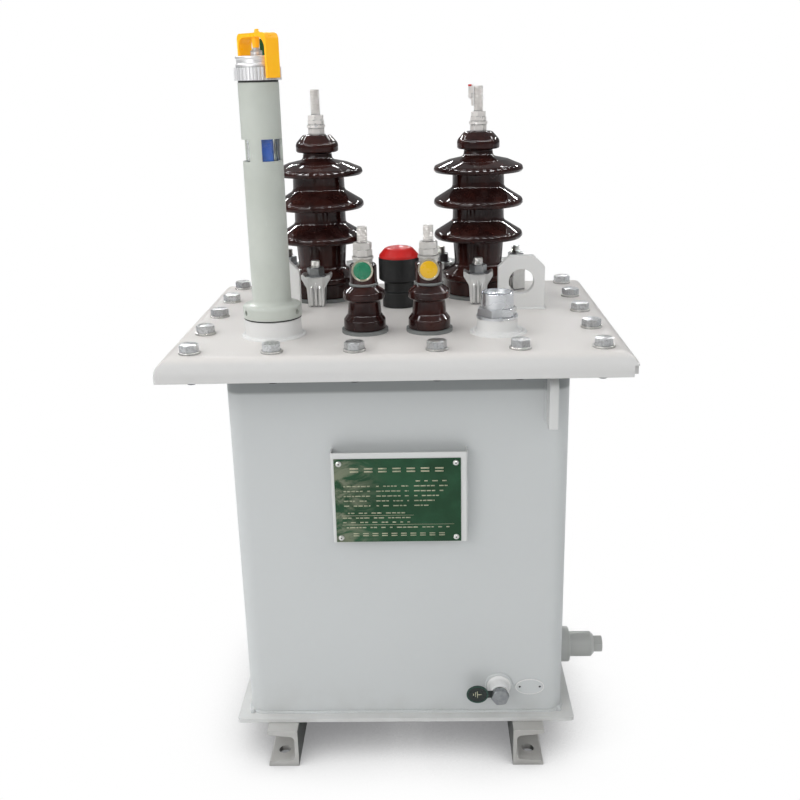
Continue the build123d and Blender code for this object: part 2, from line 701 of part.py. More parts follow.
def claw_nut():
    nut = hexagon(19, 10)
    stud = turned([(0, 8, 0), (6, 8, 0), (6, 20, 1.2), (0, 20, 0)])
    return round_bar(12, 1.5) + Pos(0, 0, 1.5) * nut + stud


def hv_claw_nuts():
    body = claw_nut()
    solids = []
    for side, angle in claw_places():
        turn = Rot(0, 0, angle + 90)
        solids.append(Pos(side * HV_X, HV_Y, COVER_TOP + CLAW_HEIGHT) * (turn * (Pos(0, -CLAW_RADIUS, 0) * body)))
    return solids


# Low bushings and tap changer


def lv_bushing():
    profile = [
        (0, 0, 0), (24, 0, 1.5), (24, 11, 3), (19.5, 17, 4), (18, 33, 3), (23.8, 35, 2.5),
        (23.8, 43, 3.5), (16, 49, 1.5), (LV_NECK_RADIUS, LV_HEIGHT, 0), (0, LV_HEIGHT, 0)]
    return turned(profile)


def lv_upper():
    return turned([(0, 0, 0), (LV_NECK_RADIUS, 0, 0), (LV_NECK_RADIUS, LV_UPPER_HEIGHT, 3.5),
                   (0, LV_UPPER_HEIGHT, 0)])


def lv_pair(make, rise=0):
    body = make()
    return [Pos(side * LV_X, LV_Y, COVER_TOP + rise) * body for side in (-1, 1)]


def lv_ring():
    return turned([(0, 0, 0), (15.7, 0, 0), (16.6, 1, 0), (16.6, 2, 0), (15.7, LV_RING, 0), (0, LV_RING, 0)])


LV_UPPER = LV_SEAL + LV_HEIGHT + LV_RING
LV_SEAT = LV_UPPER + LV_UPPER_HEIGHT


def lv_seal():
    return round_bar(LV_SEAL_RADIUS, LV_SEAL)


def lv_nuts():
    base = round_bar(11, 4)
    washer = Pos(0, 0, 4) * round_bar(12.2, 2.5)
    lower = Pos(0, 0, 6.5) * hexagon(19, 8)
    upper = Pos(0, 0, 14.5) * (Rot(0, 0, 20) * hexagon(19, 7.5))
    return base + washer + lower + upper - round_bar(STUD_RADIUS, LV_STACK)


def lv_stud():
    return stud(LV_STUD_LENGTH, LV_STACK + LV_TAG_SHEET)


def lv_tag(side):
    """Round phase disc in front of the porcelain, on a tongue clamped under the nuts."""
    front = -LV_NECK_RADIUS - LV_TAG_SHEET
    ring = Circle(10.5) + Pos(0, front / 2) * Rectangle(9, -front) - Circle(6.1)
    disc = Rot(90, 0, 0) * extrude(Circle(LV_TAG_RADIUS), LV_TAG_SHEET)
    tag = extrude(ring, LV_TAG_SHEET) + Pos(0, front + LV_TAG_SHEET, -6) * disc
    return Pos(side * LV_X, LV_Y, COVER_TOP + LV_SEAT) * tag


def tap_body():
    body = turned([
        (0, 0, 0), (21.5, 0, 0.5), (21.5, 19, 1.5), (19, 20.5, 1), (19, 31, 1), (25.5, 35, 2),
        (25.5, 62, 0.5), (0, 62, 0)])
    return Pos(0, TAP_Y, COVER_TOP) * body


def tap_cap():
    cap = turned([(0, 0, 0), (24.8, 0, 0), (24.8, 3, 3), (17, 12, 9), (0, 15, 0)])
    return Pos(0, TAP_Y, COVER_TOP + 62) * cap


def write(node, shape):
    solids = shape if isinstance(shape, list) else [shape]
    body = Compound(children=[s if isinstance(s, Solid) else s.solid() for s in solids])
    export_step(body if len(solids) > 1 else body.solid(), f"parts/{node}.step")


def main():
    right_foot = foot()
    write("foot_right", right_foot)
    write("foot_left", mirror(right_foot, Plane.YZ))
    write("base_plate", base_plate())
    write("tank_shell", tank_shell())
    write("tank_flange", tank_flange())
    write("cover_seal", cover_seal())
    write("cover", cover())
    lug = lifting_lug()
    write("lifting_lugs", [lug, mirror(lug, Plane.YZ)])
    hook = rope_hook()
    write("rope_hooks", [hook, Rot(0, 0, 180) * hook])
    write("plate_bracket", plate_bracket())
    write("rating_plate", rating_plate())
    write("earth_boss", earth_boss())
    write("earth_tag", earth_tag())
    write("earth_bolt", earth_bolt())
    write("oval_plate", oval_plate())
    write("drain_valve", drain_valve())
    write("drain_plug", drain_plug())
    write("filler_boss", filler_boss())
    write("filler_cap", filler_cap())
    write("gauge_boss", gauge_boss())
    write("gauge_seal", gauge_seal())
    write("gauge_tube", gauge_tube())
    write("gauge_glass", gauge_glass())
    write("gauge_float", gauge_float())
    write("gauge_ring", gauge_ring())
    write("gauge_collar", gauge_collar())
    write("gauge_head", gauge_head())
    write("gauge_guard", gauge_guard())
    write("valve_flag", valve_flag())
    write("hv_bushings", hv_pair(hv_bushing, HV_SEAL))
    write("hv_seals", hv_pair(hv_seal))
    write("hv_studs", hv_pair(hv_stud, HV_SEAT))
    write("hv_nuts", hv_pair(hv_nuts, HV_SEAT))
    write("hv_claws", hv_claws())
    write("hv_claw_nuts", hv_claw_nuts())
    write("lv_bushings", lv_pair(lv_bushing, LV_SEAL))
    write("lv_seals", lv_pair(lv_seal))
    write("lv_rings", lv_pair(lv_ring, LV_SEAL + LV_HEIGHT))
    write("lv_uppers", lv_pair(lv_upper, LV_UPPER))
    write("lv_studs", lv_pair(lv_stud, LV_SEAT))
    write("lv_nuts", lv_pair(lv_nuts, LV_SEAT + LV_TAG_SHEET))
    write("lv_tag_left", lv_tag(-1))
    write("lv_tag_right", lv_tag(1))
    write("tap_body", tap_body())
    write("tap_cap", tap_cap())


main()
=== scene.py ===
"""Looks of a small oil-filled distribution transformer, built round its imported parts."""
import json
import math
import random

import bpy
from mathutils import Matrix, Vector

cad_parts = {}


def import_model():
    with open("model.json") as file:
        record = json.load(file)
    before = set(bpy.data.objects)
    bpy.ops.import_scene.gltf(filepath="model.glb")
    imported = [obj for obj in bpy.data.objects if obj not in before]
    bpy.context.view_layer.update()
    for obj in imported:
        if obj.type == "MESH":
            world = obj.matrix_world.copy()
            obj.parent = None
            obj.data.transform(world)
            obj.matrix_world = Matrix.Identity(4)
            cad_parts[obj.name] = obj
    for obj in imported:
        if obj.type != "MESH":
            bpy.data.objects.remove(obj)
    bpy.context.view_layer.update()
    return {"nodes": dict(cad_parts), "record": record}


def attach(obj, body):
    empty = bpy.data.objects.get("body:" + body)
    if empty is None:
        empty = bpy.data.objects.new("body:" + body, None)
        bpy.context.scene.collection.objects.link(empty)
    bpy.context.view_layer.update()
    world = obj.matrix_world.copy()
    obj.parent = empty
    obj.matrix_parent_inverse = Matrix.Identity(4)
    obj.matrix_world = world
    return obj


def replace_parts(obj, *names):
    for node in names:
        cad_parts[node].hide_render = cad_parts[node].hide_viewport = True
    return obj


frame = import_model()
NODES = frame["nodes"]
MM = 0.001

# Places on the object, in millimetres. Pairs are (x, y), except EARTH and OVAL, which are
# (x, z) on the front of the tank, and DRAIN, which is (y, z) on its right side.
COVER_TOP = 528.5
FLANGE_UNDER = 510.5
RIM_X, RIM_Y = 255.5, 204.0
RIM_UNDER = 503.5
RIM_BEND = 18.0
RIM_ROUND = 3.0
NOTCH_X, NOTCH_Y, NOTCH_HEIGHT = 6.5, 12.0, 12.0
TANK_X = 193.5
TANK_Y = 142.0
TANK_ROUND = 18.0
BASE_TOP = 55.0
FOOT_X, FOOT_WELD = 169, 49.4
BOLT_X = 222.0
BOLT_Y = 171.5
LUG_X, LUG_Y = 151, 18
HOOK_X, HOOK_LOW, HOOK_HIGH = 171, 434, 494
BRACKET_SIDE = 77.6
PLATE_FRONT = -161.0
PRINT_LEFT, PRINT_TOP = -73.3, 399.5
SEAL = 4  # thickness of the seal under a bushing
HV = (103.0, 110.0)
HV_SEAT = COVER_TOP + 209.5
CLAW_REACH = 58  # from the bushing's axis to a claw's stud
CLAW_TURNS = (-93, 27, 147)
CLAW_TOP = COVER_TOP + 38.5
LV = (37.0, -86.5)
LV_UPPER = COVER_TOP + 57
LV_HEAD_RADIUS = 15.3
LV_SEAT = COVER_TOP + 79.0
GAUGE = (-141.0, -95.0)
STEM_SEAT = 830.6
FILLER = (113.6, -98.0)
EARTH = (115.5, 92.0)
EARTH_TAG = (EARTH[0] - 27, -TANK_Y - 19.5, EARTH[1])
DRAIN = (-54, 95)
OVAL = (153.5, 90.3)

# Fasteners, in millimetres
STUD_RADIUS = 6
WASHER_RADIUS = 12
WASHER_BORE = 6.5
THREAD_PITCH = 1.75
THREAD_DEPTH = 0.75


# Materials

MATS = {}
DIRT = (0.36, 0.345, 0.315)
CAP_TOP = max(v.co.z for v in NODES["filler_cap"].data.vertices)


class Finish:
    """A procedural material: one Principled shader and short helpers for what feeds it."""

    def __init__(self, name, colour, roughness=0.5, metallic=0.0):
        self.mat = bpy.data.materials.new(name)
        MATS[name] = self.mat
        self.mat.use_nodes = True
        self.nodes = self.mat.node_tree.nodes
        self.links = self.mat.node_tree.links
        self.nodes.clear()
        out = self.nodes.new("ShaderNodeOutputMaterial")
        self.shader = self.nodes.new("ShaderNodeBsdfPrincipled")
        self.links.new(self.shader.outputs[0], out.inputs[0])
        self.shader.inputs["Base Color"].default_value = (*colour, 1)
        self.shader.inputs["Roughness"].default_value = roughness
        self.shader.inputs["Metallic"].default_value = metallic
        self.coords = self.nodes.new("ShaderNodeTexCoord").outputs["Object"]
        split = self.nodes.new("ShaderNodeSeparateXYZ")
        self.links.new(self.coords, split.inputs[0])
        self.xyz = split.outputs

    def put(self, socket, value):
        if hasattr(value, "is_output"):
            self.links.new(value, socket)
        elif isinstance(value, tuple) and len(value) == 3 and len(socket.default_value) == 4:
            socket.default_value = (*value, 1)
        else:
            socket.default_value = value

    def set(self, name, value):
        self.put(self.shader.inputs[name], value)

    def noise(self, scale, detail=4.0, rough=0.55, stretch=(1, 1, 1), warp=0.0):
        place = self.nodes.new("ShaderNodeMapping")
        place.inputs["Scale"].default_value = stretch
        self.links.new(self.coords, place.inputs[0])
        tex = self.nodes.new("ShaderNodeTexNoise")
        self.links.new(place.outputs[0], tex.inputs["Vector"])
        tex.inputs["Scale"].default_value = scale
        tex.inputs["Detail"].default_value = detail
        tex.inputs["Roughness"].default_value = rough
        tex.inputs["Distortion"].default_value = warp
        return tex.outputs["Fac"]

    def ramp(self, value, low, high, start=0.0, end=1.0):
        node = self.nodes.new("ShaderNodeMapRange")
        node.interpolation_type = "SMOOTHSTEP"
        limits = {"From Min": low, "From Max": high, "To Min": start, "To Max": end}
        for name, number in limits.items():
            node.inputs[name].default_value = number
        self.put(node.inputs["Value"], value)
        return node.outputs[0]

    def math(self, kind, a, b=0.0):
        node = self.nodes.new("ShaderNodeMath")
        node.operation = kind
        self.put(node.inputs[0], a)
        self.put(node.inputs[1], b)
        return node.outputs[0]

    def mix(self, share, a, b):
        node = self.nodes.new("ShaderNodeMix")
        node.data_type = "RGBA"
        self.put(node.inputs["Factor"], share)
        self.put([s for s in node.inputs if s.name == "A" and s.type == "RGBA"][0], a)
        self.put([s for s in node.inputs if s.name == "B" and s.type == "RGBA"][0], b)
        return [s for s in node.outputs if s.type == "RGBA"][0]

    def facing(self, axis):
        """How far the surface faces along one axis, from -1 to 1."""
        geo = self.nodes.new("ShaderNodeNewGeometry")
        split = self.nodes.new("ShaderNodeSeparateXYZ")
        self.links.new(geo.outputs["Normal"], split.inputs[0])
        return split.outputs[axis]

    def openness(self, reach):
        """How open the surroundings are, 0 to 1, as far as the reach in metres."""
        near = self.nodes.new("ShaderNodeAmbientOcclusion")
        near.inputs["Distance"].default_value = reach
        near.samples = 8
        return near.outputs["AO"]

    def bump(self, height, strength, distance, rounded=0.0):
        node = self.nodes.new("ShaderNodeBump")
        node.inputs["Strength"].default_value = strength
        node.inputs["Distance"].default_value = distance
        self.put(node.inputs["Height"], height)
        if rounded:
            bevel = self.nodes.new("ShaderNodeBevel")
            bevel.samples = 4
            bevel.inputs["Radius"].default_value = rounded
            self.links.new(bevel.outputs[0], node.inputs["Normal"])
        self.links.new(node.outputs[0], self.shader.inputs["Normal"])


def scaled(colour, share):
    return tuple(c * share for c in colour)


def paint(name, light, dark, grime=DIRT, grime_top=0.12, gloss=0.32, coat=0.18, shine=0.5,
          top=None, shade=False, under=False):
    """Sprayed paint: faint clouds, orange peel, and a little grime low down.

    The colour top is painted light on faces that look up, shade paints a shadow on the strip
    below the rim, and under paints shade on the inner faces and corners of the feet.
    """
    f = Finish(name, light, gloss)
    tone = f.mix(f.ramp(f.noise(3.5, 1.0), 0.25, 0.75), light, dark)
    low = f.ramp(f.xyz[2], 0.02, grime_top, 1.0, 0.0)
    stains = f.ramp(f.noise(30.0, 3.0, 0.5), 0.35, 0.75)
    tone = f.mix(f.math("MULTIPLY", f.math("MULTIPLY", low, stains), 0.25), tone, grime)
    if top:
        # painted light: faces that look up get the lighter colour top, as if lit from above
        tone = f.mix(f.ramp(f.facing(2), 0.6, 0.97), tone, top)
    if shade:
        # painted shadow on the strip of the tank wall just below the cover's rim
        tone = f.mix(f.ramp(f.xyz[2], 0.470, 0.4745, 0.0, 0.6), tone, (0.10, 0.115, 0.115))
    if under:
        # painted shade on the inner faces of the feet, which face the dark underside of the tank
        inward = f.math("MULTIPLY", f.facing(0), f.xyz[0])
        tone = f.mix(f.ramp(inward, -0.11, -0.05, 0.9, 0.0), tone, (0.035, 0.04, 0.037))
        # painted shade in the corners and the holes of the feet
        corners = f.ramp(f.openness(0.012), 0.2, 0.75, 0.85, 0.0)
        tone = f.mix(corners, tone, (0.05, 0.05, 0.045))
    f.set("Base Color", tone)
    f.set("Roughness", f.ramp(f.noise(12.0, 2.0), 0.25, 0.75, gloss - 0.04, gloss + 0.08))
    f.set("Specular IOR Level", shine)
    f.set("Coat Weight", coat)
    f.set("Coat Roughness", 0.1)
    peel = f.math("ADD", f.math("MULTIPLY", f.noise(330.0, 1.0), 0.3), f.noise(14.0, 1.0))
    f.bump(peel, 0.12, 0.001, 0.0008)


def plated(name, light, dark, roughness, metallic=1.0, scratch=0.1, spot=0.35, gap_shade=0.0):
    """Bare or plated metal with dull patches, fine scratches and painted shade in narrow gaps."""
    f = Finish(name, light, roughness, metallic)
    tone = f.mix(f.ramp(f.noise(60.0, 4.0, 0.6), 0.36, 0.66), light, dark)
    spots = f.ramp(f.noise(320.0, 3.0), 0.62, 0.72, 0.0, spot)
    tone = f.mix(spots, tone, scaled(dark, 0.45))
    if gap_shade:
        # painted shade: darker where narrow gaps close the surroundings in
        tone = f.mix(f.ramp(f.openness(0.004), 0.3, 0.92, gap_shade, 0.0), tone, scaled(dark, 0.12))
    f.set("Base Color", tone)
    dull = f.ramp(f.noise(130.0, 3.0), 0.3, 0.7, roughness - 0.04, roughness + 0.08)
    f.set("Roughness", dull)
    f.bump(f.noise(520.0, 2.0, stretch=(1, 1, 0.2)), scratch, 0.0003, 0.0004)


def bolt_steel():
    """Dull galvanised bolts, each a little lighter or darker, with painted light on their tops."""
    f = Finish("bolt_zinc", (0.5, 0.5, 0.5), 0.4, 1.0)
    each = f.ramp(f.noise(9.0, 0.0), 0.3, 0.7)
    sides = f.mix(each, (0.69, 0.70, 0.71), (0.46, 0.465, 0.47))
    tops = f.mix(each, (0.74, 0.745, 0.75), (0.54, 0.54, 0.54))
    # painted light: the tops are lighter than the sides, as if lit from above
    tone = f.mix(f.ramp(f.facing(2), 0.5, 0.95), sides, tops)
    flakes = f.ramp(f.noise(420.0, 3.0, 0.6), 0.42, 0.68, 0.0, 0.5)
    tone = f.mix(flakes, tone, (0.22, 0.22, 0.225))
    f.set("Base Color", tone)
    f.set("Roughness", f.ramp(f.noise(300.0, 3.0), 0.3, 0.7, 0.30, 0.5))
    f.bump(f.noise(650.0, 3.0), 0.35, 0.0003, 0.0004)


def bright_steel(name, light, dark, roughness, metallic, gap_shade, flat_top=None):
    """Smooth turned metal with a clean shine, and a darker end face at the height flat_top."""
    f = Finish(name, light, roughness, metallic)
    turned = f.noise(30.0, 1.0, 0.5, (1.0, 1.0, 1.6))
    tone = f.mix(f.ramp(turned, 0.35, 0.65), light, dark)
    if flat_top:
        end = f.ramp(f.xyz[2], flat_top - 0.0006, flat_top - 0.0002)
        tone = f.mix(end, tone, (0.36, 0.36, 0.41))
    # painted shade: darker where narrow gaps close the surroundings in
    tone = f.mix(f.ramp(f.openness(0.003), 0.4, 0.95, gap_shade, 0.0), tone, scaled(dark, 0.25))
    f.set("Base Color", tone)
    f.set("Roughness", f.ramp(turned, 0.35, 0.65, roughness, roughness + 0.06))
    f.bump(turned, 0.01, 0.0001)


def glaze():
    """Dark brown porcelain glaze, thinner and redder in places, with a wet shine."""
    f = Finish("brown_glaze", (0.026, 0.0065, 0.0055), 0.07)
    thin = f.ramp(f.noise(34.0, 4.0, stretch=(1, 1, 0.5)), 0.38, 0.7)
    tone = f.mix(thin, (0.017, 0.0055, 0.005), (0.040, 0.0115, 0.009))
    specks = f.ramp(f.noise(80.0, 5.0), 0.4, 0.7, 0.0, 0.05)
    dusty = f.math("MULTIPLY", f.ramp(f.facing(2), 0.55, 0.95), specks)
    tone = f.mix(dusty, tone, (0.22, 0.2, 0.19))
    f.set("Base Color", tone)
    f.set("Roughness", f.ramp(f.noise(60.0, 4.0), 0.3, 0.75, 0.03, 0.07))
    f.set("Specular IOR Level", 0.24)
    f.set("Coat Weight", 0.15)
    f.set("Coat Roughness", 0.03)
    ripple = f.math("ADD", f.noise(46.0, 2.0), f.math("MULTIPLY", f.noise(420.0, 2.0), 0.05))
    f.bump(ripple, 0.14, 0.002)


def moulded(name, light, dark, roughness, bump=0.12, coat=0.0, glow=0.0):
    """Moulded plastic or rubber with soft colour drift, scuffs, a fine grain and a painted glow.
    """
    f = Finish(name, light, roughness)
    tone = f.mix(f.ramp(f.noise(24.0, 5.0), 0.35, 0.7), light, dark)
    scuffs = f.ramp(f.noise(140.0, 4.0, stretch=(1, 1, 0.3)), 0.66, 0.74, 0.0, 0.3)
    f.set("Base Color", f.mix(scuffs, tone, tuple(min(1, c * 1.35 + 0.02) for c in light)))
    smooth = max(0.05, roughness - 0.08)
    f.set("Roughness", f.ramp(f.noise(70.0, 4.0), 0.3, 0.7, smooth, roughness + 0.12))
    f.set("Coat Weight", coat)
    # painted light: glow makes the part give off a little light in its own colour, though it is no
    # lamp
    if glow:
        f.set("Emission Color", tone)
        f.set("Emission Strength", glow)
    f.bump(f.noise(480.0, 3.0), bump, 0.0004, 0.0004)


def plate_green():
    """Green enamel with a pale mottled reflection painted over its left end."""
    f = Finish("plate_green", (0.010, 0.06, 0.024), 0.3)
    clouds = f.ramp(f.noise(30.0, 5.0), 0.35, 0.7)
    tone = f.mix(clouds, (0.008, 0.048, 0.018), (0.016, 0.078, 0.034))
    # painted reflection: pale wisps over the left end of the plate
    left = f.ramp(f.xyz[0], -0.073, -0.01, 1.0, 0.0)
    wisps = f.ramp(f.noise(22.0, 7.0, 0.7, (1, 1, 2.2), 1.6), 0.40, 0.62)
    painted_reflection = f.math("MULTIPLY", f.math("MULTIPLY", left, wisps), 0.75)
    tone = f.mix(painted_reflection, tone, (0.25, 0.26, 0.18))
    f.set("Base Color", tone)
    f.set("Roughness", f.ramp(f.noise(90.0, 4.0), 0.3, 0.7, 0.30, 0.5))
    f.set("Specular IOR Level", 0.3)
    f.bump(f.noise(60.0, 4.0), 0.1, 0.0008)


def clear():
    """Clear gauge glass with faint smears."""
    f = Finish("clear_glass", (0.95, 0.97, 0.95), 0.03)
    f.set("Transmission Weight", 1.0)
    f.set("IOR", 1.35)
    smears = f.ramp(f.noise(40.0), 0.4, 0.7)
    f.set("Base Color", f.mix(smears, (0.96, 0.98, 0.96), (0.86, 0.9, 0.87)))
    f.set("Roughness", f.ramp(f.noise(90.0, 4.0), 0.3, 0.7, 0.02, 0.09))
    f.bump(f.noise(60.0), 0.03, 0.0006)


paint("tank_paint", (0.595, 0.61, 0.61), (0.57, 0.585, 0.585), shade=True)
# the cover's top colour is painted light on its upward faces
paint("cover_paint", (0.67, 0.66, 0.65), (0.645, 0.635, 0.625), gloss=0.36, coat=0.0,
      shine=0.18, top=(0.73, 0.70, 0.675))
paint("bracket_paint", (0.70, 0.70, 0.69), (0.67, 0.67, 0.66))
paint("base_paint", (0.675, 0.675, 0.665), (0.64, 0.64, 0.63))
paint("lug_paint", (0.79, 0.785, 0.775), (0.75, 0.745, 0.735))
paint("drain_paint", (0.47, 0.475, 0.455), (0.43, 0.435, 0.42))
paint("foot_paint", (0.55, 0.545, 0.53), (0.43, 0.42, 0.40), (0.16, 0.13, 0.11), 0.075, 0.42,
      under=True)
moulded("seal_rubber", (0.02, 0.02, 0.02), (0.035, 0.033, 0.03), 0.55)
plate_green()
moulded("tag_black", (0.008, 0.013, 0.011), (0.016, 0.024, 0.02), 0.28, 0.06)
plated("zinc_steel", (0.40, 0.41, 0.42), (0.28, 0.29, 0.30), 0.38, gap_shade=0.7)
plated("cast_zinc", (0.88, 0.88, 0.87), (0.80, 0.80, 0.79), 0.33, 0.8, 0.01, spot=0.0, gap_shade=0.95)
plated("pale_zinc", (0.95, 0.91, 0.88), (0.87, 0.83, 0.80), 0.3, 0.4, 0.04, spot=0.1, gap_shade=0.95)
plated("dull_zinc", (0.74, 0.71, 0.68), (0.62, 0.60, 0.57), 0.34, 0.5, 0.04, spot=0.1, gap_shade=0.95)
plated("thread_zinc", (0.84, 0.80, 0.77), (0.74, 0.71, 0.68), 0.34, 0.4, 0.03, spot=0.1, gap_shade=0.8)
bright_steel("bright_zinc", (0.80, 0.81, 0.83), (0.74, 0.75, 0.77), 0.24, 0.85, 0.5)
bright_steel("cap_steel", (0.77, 0.78, 0.80), (0.71, 0.72, 0.74), 0.24, 0.85, 0.5, CAP_TOP)
moulded("gauge_plastic", (0.56, 0.585, 0.535), (0.52, 0.545, 0.495), 0.36, 0.1, 0.1)
clear()
moulded("float_blue", (0.008, 0.17, 0.85), (0.008, 0.12, 0.7), 0.25, 0.05, 0.4)
bright_steel("bare_aluminium", (0.97, 0.96, 0.97), (0.91, 0.90, 0.91), 0.30, 0.75, 0.7)
moulded("guard_yellow", (1.0, 0.50, 0.007), (1.0, 0.45, 0.006), 0.34, 0.04, 0.1, 0.2)
moulded("flag_green", (0.01, 0.17, 0.08), (0.008, 0.12, 0.06), 0.35)
glaze()
moulded("bushing_seal", (0.21, 0.22, 0.215), (0.15, 0.16, 0.155), 0.6)
moulded("tag_edge", (0.008, 0.045, 0.03), (0.012, 0.06, 0.04), 0.35, 0.05)
moulded("tag_green", (0.008, 0.21, 0.10), (0.006, 0.16, 0.075), 0.3, 0.05, 0.3)
moulded("tag_yellow", (0.84, 0.49, 0.006), (0.77, 0.43, 0.006), 0.3, 0.05, 0.3)
plated("tag_rim", (0.62, 0.58, 0.48), (0.42, 0.37, 0.28), 0.3)
moulded("black_plastic", (0.005, 0.0055, 0.0055), (0.009, 0.0095, 0.01), 0.42, 0.12)
moulded("cap_red", (0.66, 0.008, 0.006), (0.58, 0.007, 0.005), 0.4, 0.02, 0.1)
moulded("print_cream", (0.56, 0.54, 0.38), (0.42, 0.43, 0.29), 0.45, 0.05)
bolt_steel()
plated("washer_zinc", (0.90, 0.88, 0.85), (0.66, 0.65, 0.63), 0.3, gap_shade=0.8)
# painted shade: near-black metal for the nuts and bolt ends in the shadow under the flange, the
# rivet centres and the holes of the oval plate
plated("painted_shade_dark", (0.07, 0.07, 0.075), (0.04, 0.04, 0.042), 0.5, 0.6)

# Parts whose look differs from that of their material slot
OWN_FINISH = {
    "foot_left": "foot_paint",
    "foot_right": "foot_paint",
    "base_plate": "base_paint",
    "cover": "cover_paint",
    "plate_bracket": "bracket_paint",
    "rope_hooks": "bracket_paint",
    "lifting_lugs": "lug_paint",
    "filler_boss": "lug_paint",
    "filler_cap": "cap_steel",
    "gauge_boss": "lug_paint",
    "earth_boss": "lug_paint",
    "drain_valve": "drain_paint",
    "drain_plug": "drain_paint",
    "hv_claws": "cast_zinc",
    "hv_studs": "pale_zinc",
    "hv_nuts": "pale_zinc",
    "lv_studs": "pale_zinc",
    "lv_nuts": "dull_zinc",
    "lv_tag_left": "tag_rim",
    "lv_tag_right": "tag_rim",
}
for record in frame["record"]["subparts"]:
    part_mesh = NODES[record["node"]].data
    part_mesh.materials.clear()
    part_mesh.materials.append(MATS[OWN_FINISH.get(record["node"], record["material_slot"])])


# Meshes


class Shape:
    """Vertices in millimetres and faces, gathered from several bodies into one mesh."""

    def __init__(self):
        self.verts = []
        self.faces = []

    def add(self, verts, faces, place=None):
        start = len(self.verts)
        place = place or Matrix.Identity(4)
        self.verts += [place @ Vector(v) for v in verts]
        self.faces += [[start + i for i in face] for face in faces]

    def rings(self, rings, place=None, ends=True, loop=False):
        """Skins closed rings of equal count; loop joins the last one to the first."""
        count = len(rings[0])
        verts = [p for ring in rings for p in ring]
        faces = []
        spans = len(rings) if loop else len(rings) - 1
        for r in range(spans):
            a, b = r * count, ((r + 1) % len(rings)) * count
            for i in range(count):
                j = (i + 1) % count
                faces.append([a + i, a + j, b + j, b + i])
        if ends and not loop:
            faces.append(list(range(count))[::-1])
            faces.append([len(verts) - count + i for i in range(count)])
        self.add(verts, faces, place)

    def done(self, name, finish, slot, crease=32.0):
        mesh = bpy.data.meshes.new(name)
        mesh.from_pydata([v * MM for v in self.verts], [], self.faces)
        mesh.update()
        mesh.polygons.foreach_set("use_smooth", [True] * len(mesh.polygons))
        sharpen(mesh, crease)
        obj = bpy.data.objects.new(name, mesh)
        bpy.context.scene.collection.objects.link(obj)
        mesh.materials.append(MATS[finish])
        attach(obj, "root")
        return obj


def sharpen(mesh, crease):
    """Marks the edges sharp whose two faces meet at more than the crease angle."""
    limit = math.cos(math.radians(crease))
    seen = {}
    for face in mesh.polygons:
        for key in face.edge_keys:
            seen.setdefault(key, []).append(face.normal.copy())
    for edge in mesh.edges:
        normals = seen.get(edge.key, [])
        if len(normals) != 2 or normals[0].dot(normals[1]) < limit:
            edge.use_edge_sharp = True


def turns(count):
    """The angles of a full turn in equal steps."""
    return [2 * math.pi * i / count for i in range(count)]


def circle(radius, z, count=32):
    return [(radius * math.cos(a), radius * math.sin(a), z) for a in turns(count)]


def lathe(shape, profile, place=None, count=32):
    """Adds a turned body from (radius, height) points."""
    shape.rings([circle(max(r, 0.01), z, count) for r, z in profile], place)


def hexagon_radius(angle, flats):
    """Distance from the middle of a hexagon to its side at an angle."""
    sector = (angle % (math.pi / 3)) - math.pi / 6
    return flats / 2 / math.cos(sector)


def hex_head(shape, flats, height, place, both=False):
    """A hexagon whose top corners, or both, are turned to a cone."""
    low, high, top = [], [], []
    for a in turns(24):
        r = hexagon_radius(a, flats)
        drop = max(0.0, r - flats / 2 * 0.97) * 0.62
        low.append((r * math.cos(a), r * math.sin(a), drop if both else 0.0))
        high.append((r * math.cos(a), r * math.sin(a), height - drop))
        top.append((flats / 2 * 0.94 * math.cos(a), flats / 2 * 0.94 * math.sin(a), height))
    shape.rings([[(x * 0.9, y * 0.9, 0.0) for x, y, _ in low], low, high, top], place)


def thread(shape, low, high, place, count=24):
    """A stud with a screw thread cut into it and a chamfered free end."""
    rings = []
    rows = int((high - low) / THREAD_PITCH * 5)
    for k in range(rows + 1):
        z = low + (high - low) * k / rows
        ring = []
        for i, a in enumerate(turns(count)):
            phase = ((z / THREAD_PITCH) - i / count) % 1.0
            fade = min(1, (high - z) / THREAD_PITCH + 0.4)
            cut = THREAD_DEPTH * (1 - abs(2 * phase - 1)) * fade
            r = STUD_RADIUS - cut - max(0.0, 1.0 - (high - z)) * 0.8
            ring.append((r * math.cos(a), r * math.sin(a), z))
        rings.append(ring)
    shape.rings(rings, place)


def at(x, y, z, turn=0.0):
    return Matrix.Translation((x, y, z)) @ Matrix.Rotation(math.radians(turn), 4, "Z")


def facing_front(x, y, z):
    """A place whose own Z axis points out of the front of the tank."""
    return Matrix.Translation((x, y, z)) @ Matrix.Rotation(math.pi / 2, 4, "X")


def bead(shape, path, radius, seed, closed=False, lumps=0.2, step=1.6):
    """A weld bead along a path: a ribbed, slightly uneven round cord."""
    rnd = random.Random(seed)
    points = [Vector(p) for p in path]
    if closed:
        points.append(points[0])
    dense = []
    for a, b in zip(points, points[1:]):
        parts = max(1, int((b - a).length / step))
        dense += [a.lerp(b, i / parts) for i in range(parts)]
    if not closed:
        dense.append(points[-1])
    rings = []
    swell = 1.0
    for k, p in enumerate(dense):
        ahead = dense[(k + 1) % len(dense)] if closed or k + 1 < len(dense) else p
        behind = dense[k - 1] if closed or k else p
        along = (ahead - behind).normalized()
        side = along.cross(Vector((0.3, 0.2, 1.0))).normalized()
        over = side.cross(along)
        swell += (1 + rnd.uniform(-lumps, lumps) - swell) * 0.35
        ripple = 1 + 0.09 * math.sin(k * 2.1)
        end = 1.0
        if not closed:
            end = min(1.0, 0.35 + 0.3 * min(k, len(dense) - 1 - k))
        r = radius * swell * ripple * end
        rings.append([p + side * (r * math.cos(a)) + over * (r * math.sin(a)) for a in turns(8)])
    shape.rings(rings, loop=closed, ends=not closed)


